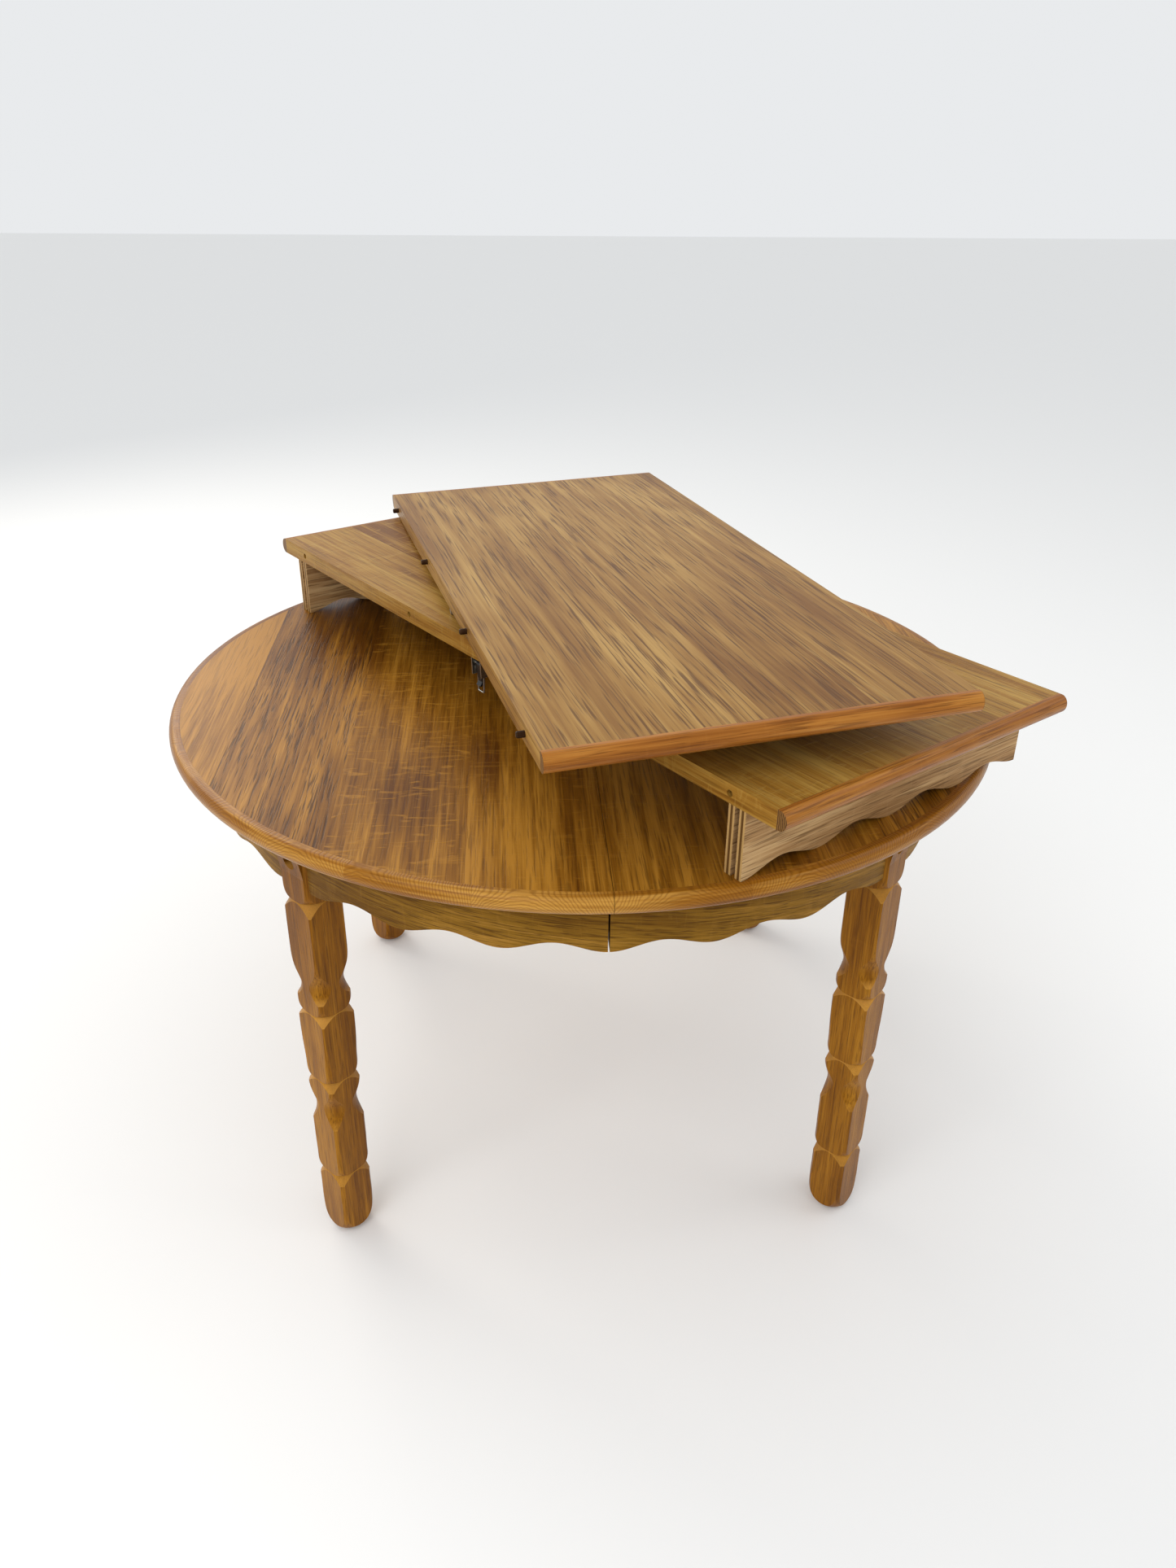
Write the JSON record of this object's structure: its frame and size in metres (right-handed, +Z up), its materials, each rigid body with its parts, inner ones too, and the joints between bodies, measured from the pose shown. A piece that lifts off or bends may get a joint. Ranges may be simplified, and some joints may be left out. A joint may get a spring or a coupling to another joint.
{
  "type": "extending dining table",
  "caption": "Round oak-look extending table in two halves on four turned square legs, scalloped aprons, with two loose leaves stacked askew on the top.",
  "frame": {"origin": "floor level, at the middle of the whole stack's footprint; the round top's own centre is 26 mm towards -Y of it", "axes": "+Z up; the split of the round top runs along Y; the right half draws out along +X; the picture looks from -Y"},
  "size_m": [1.2, 1.2946, 0.9094],
  "materials": {
    "veneer_oak": "satin oiled oak veneer",
    "lipping_oak": "satin oiled solid oak",
    "leg_oak": "satin oiled turned oak",
    "apron_oak": "satin oiled oak",
    "ply_apron": "thinly finished oak-faced ply",
    "frame_wood": "unfinished beech",
    "dowel_wood": "dark turned hardwood",
    "zinc_steel": "zinc plated",
    "black_steel": "black",
    "glide_plastic": "moulded"
  },
  "bodies": {
    "left_half": {"top_left": "veneer_oak", "rim_left": "lipping_oak", "leg_front_left": "leg_oak", "leg_back_left": "leg_oak", "apron_front_left": "apron_oak", "apron_back_left": "apron_oak", "apron_side_left": "apron_oak", "corner_block_front_left": "frame_wood", "corner_block_back_left": "frame_wood", "leg_bolts_left": "zinc_steel", "foot_glides_left": "glide_plastic", "runner_left_front": "frame_wood", "runner_left_back": "frame_wood", "packers_left": "frame_wood", "runner_screws_left": "zinc_steel", "table_catch_bracket": "zinc_steel", "split_tongues": "frame_wood"},
    "right_half": {"top_right": "veneer_oak", "rim_right": "lipping_oak", "leg_front_right": "leg_oak", "leg_back_right": "leg_oak", "apron_front_right": "apron_oak", "apron_back_right": "apron_oak", "apron_side_right": "apron_oak", "corner_block_front_right": "frame_wood", "corner_block_back_right": "frame_wood", "leg_bolts_right": "zinc_steel", "foot_glides_right": "glide_plastic", "runner_right_front": "frame_wood", "runner_right_back": "frame_wood", "packers_right": "frame_wood", "runner_screws_right": "zinc_steel", "pins_table": "dowel_wood", "table_strike": "zinc_steel"},
    "middle_runners": {"runner_middle_front": "frame_wood", "runner_middle_back": "frame_wood"},
    "table_lever": {"table_catch_lever": "black_steel"},
    "table_bail": {"table_catch_bail": "zinc_steel"},
    "lower_leaf": {"lower_board": "veneer_oak", "lower_lip_front": "lipping_oak", "lower_lip_back": "lipping_oak", "lower_pins": "dowel_wood", "lower_apron_front_outer": "ply_apron", "lower_apron_front_inner": "ply_apron", "lower_apron_back_outer": "ply_apron", "lower_apron_back_inner": "ply_apron", "lower_apron_packing": "frame_wood", "lower_glue_blocks": "frame_wood", "lower_strike": "zinc_steel", "lower_catch_bracket": "zinc_steel"},
    "lower_lever": {"lower_catch_lever": "black_steel"},
    "lower_bail": {"lower_catch_bail": "zinc_steel"},
    "upper_leaf": {"upper_board": "veneer_oak", "upper_lip_front": "lipping_oak", "upper_lip_back": "lipping_oak", "upper_pins": "dowel_wood", "upper_strike": "zinc_steel", "upper_catch_bracket": "zinc_steel"},
    "upper_lever": {"upper_catch_lever": "black_steel"},
    "upper_bail": {"upper_catch_bail": "zinc_steel"}
  },
  "joints": [
    {"name": "table_opening", "type": "slide", "parent": "left_half", "child": "right_half", "axis": [1, 0, 0], "range_m": [0, 1]},
    {"name": "middle_runners_slide", "type": "slide", "parent": "left_half", "child": "middle_runners", "axis": [1, 0, 0], "range_m": [0, 0.5]},
    {"name": "lower_leaf_lift", "type": "slide", "parent": "left_half", "child": "lower_leaf", "axis": [0, 0, 1], "range_m": [0, 0.3]},
    {"name": "upper_leaf_lift", "type": "slide", "parent": "lower_leaf", "child": "upper_leaf", "axis": [0, 0, 1], "range_m": [0, 0.3]},
    {"name": "table_lever_swing", "type": "hinge", "parent": "left_half", "child": "table_lever", "pos_m": [-0.0143, -0.02624, 0.682], "axis": [0, 1, 0], "range_deg": [0, 90]},
    {"name": "table_bail_swing", "type": "hinge", "parent": "table_lever", "child": "table_bail", "pos_m": [-0.0143, -0.02624, 0.675], "axis": [0, -1, 0], "range_deg": [0, 85]},
    {"name": "lower_lever_swing", "type": "hinge", "parent": "lower_leaf", "child": "lower_lever", "pos_m": [-0.14937, -0.14174, 0.7943], "axis": [0.5585, -0.8295, 0], "range_deg": [0, 90]},
    {"name": "lower_bail_swing", "type": "hinge", "parent": "lower_lever", "child": "lower_bail", "pos_m": [-0.14937, -0.14174, 0.7873], "axis": [-0.5585, 0.8295, 0], "range_deg": [0, 85]},
    {"name": "upper_lever_swing", "type": "hinge", "parent": "upper_leaf", "child": "upper_lever", "pos_m": [0.27718, 0.05683, 0.85045], "axis": [-0.2057, 0.978, -0.0349], "range_deg": [-12, 0]},
    {"name": "upper_bail_swing", "type": "hinge", "parent": "upper_lever", "child": "upper_bail", "pos_m": [0.27033, 0.05539, 0.85026], "axis": [0.2057, -0.978, 0.0349], "range_deg": [0, 10]}
  ],
  "couplings": [
    {"joint": "middle_runners_slide", "follows": "table_opening", "ratio": 0.5}
  ]
}
